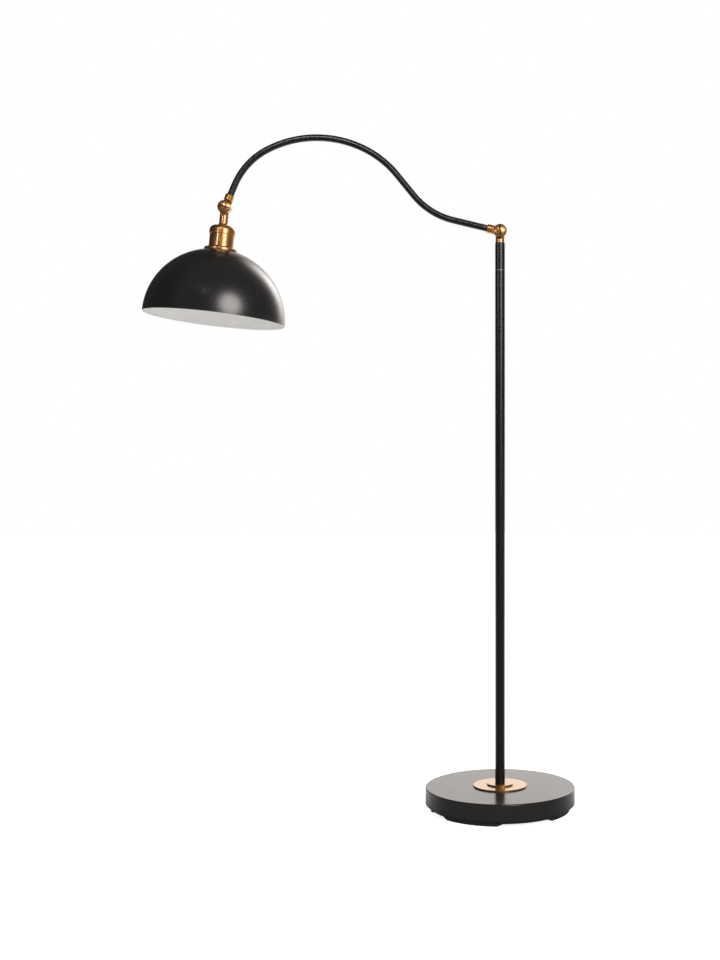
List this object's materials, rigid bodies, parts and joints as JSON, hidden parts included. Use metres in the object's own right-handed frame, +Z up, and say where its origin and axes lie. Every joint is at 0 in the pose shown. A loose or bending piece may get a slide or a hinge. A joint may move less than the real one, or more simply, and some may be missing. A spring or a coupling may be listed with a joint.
{
  "type": "bridge floor lamp",
  "caption": "Floor lamp with a heavy round base, a straight pole, a bowed arm that swivels and tilts, and a domed metal shade on a tilting neck.",
  "frame": {"origin": "on the floor, under the centre of the pole", "axes": "+Z up along the pole; the arm reaches along -X, the slotted screw heads face -Y, the cord inlet faces +Y"},
  "size_m": [0.9691, 0.3381, 1.5162],
  "materials": {
    "black_enamel": "satin black enamel; the shade is white inside",
    "brass_satin": "satin brass, warm and slightly coppery",
    "plated_steel": "zinc plated",
    "cast_iron": "as cast",
    "rubber": "matte",
    "fibre": "matte vulcanised fibre",
    "ceramic": "glazed white",
    "contact_brass": "bright"
  },
  "bodies": {
    "stand": {"base_cover": "black_enamel", "base_weight": "cast_iron", "base_plate": "black_enamel", "feet": "rubber", "plate_screws": "plated_steel", "cord_grommet": "rubber", "base_rosette": "brass_satin", "pole_seat_ring": "brass_satin", "base_nipple": "plated_steel", "base_washer": "plated_steel", "base_nut": "plated_steel", "pole_plug": "plated_steel", "lower_pole": "black_enamel", "pole_coupler": "plated_steel", "upper_pole": "black_enamel", "swivel_bush": "brass_satin", "swivel_washer": "plated_steel"},
    "swivel": {"swivel_spindle": "plated_steel", "swivel_nut": "plated_steel", "swivel_tube": "black_enamel", "elbow_neck": "brass_satin", "elbow_screw": "brass_satin", "elbow_nut": "brass_satin", "elbow_spring_washer": "plated_steel", "elbow_friction_washer": "fibre"},
    "arm": {"elbow_collar": "brass_satin", "arm_tube": "black_enamel", "head_collar": "brass_satin", "head_screw": "brass_satin", "head_nut": "brass_satin", "head_spring_washer": "plated_steel", "head_friction_washer": "fibre"},
    "head": {"head_neck": "brass_satin", "holder_nipple": "plated_steel", "socket_cap": "brass_satin", "socket_cup": "brass_satin", "shade_flange": "brass_satin", "lampholder": "ceramic", "screw_shell": "contact_brass", "centre_contact": "contact_brass", "terminal_screws": "plated_steel", "shade": "black_enamel", "shade_ring": "ceramic"}
  },
  "joints": [
    {"name": "swivel_turn", "type": "hinge", "parent": "stand", "child": "swivel", "pos_m": [0, 0, 1.2102], "axis": [0, 0, 1], "range_deg": [-170, 170]},
    {"name": "arm_tilt", "type": "hinge", "parent": "swivel", "child": "arm", "pos_m": [0, 0, 1.2976], "axis": [0, 1, 0], "range_deg": [-30, 45]},
    {"name": "head_tilt", "type": "hinge", "parent": "arm", "child": "head", "pos_m": [-0.61921, 0, 1.35113], "axis": [0, 1, 0], "range_deg": [-75, 90]}
  ]
}
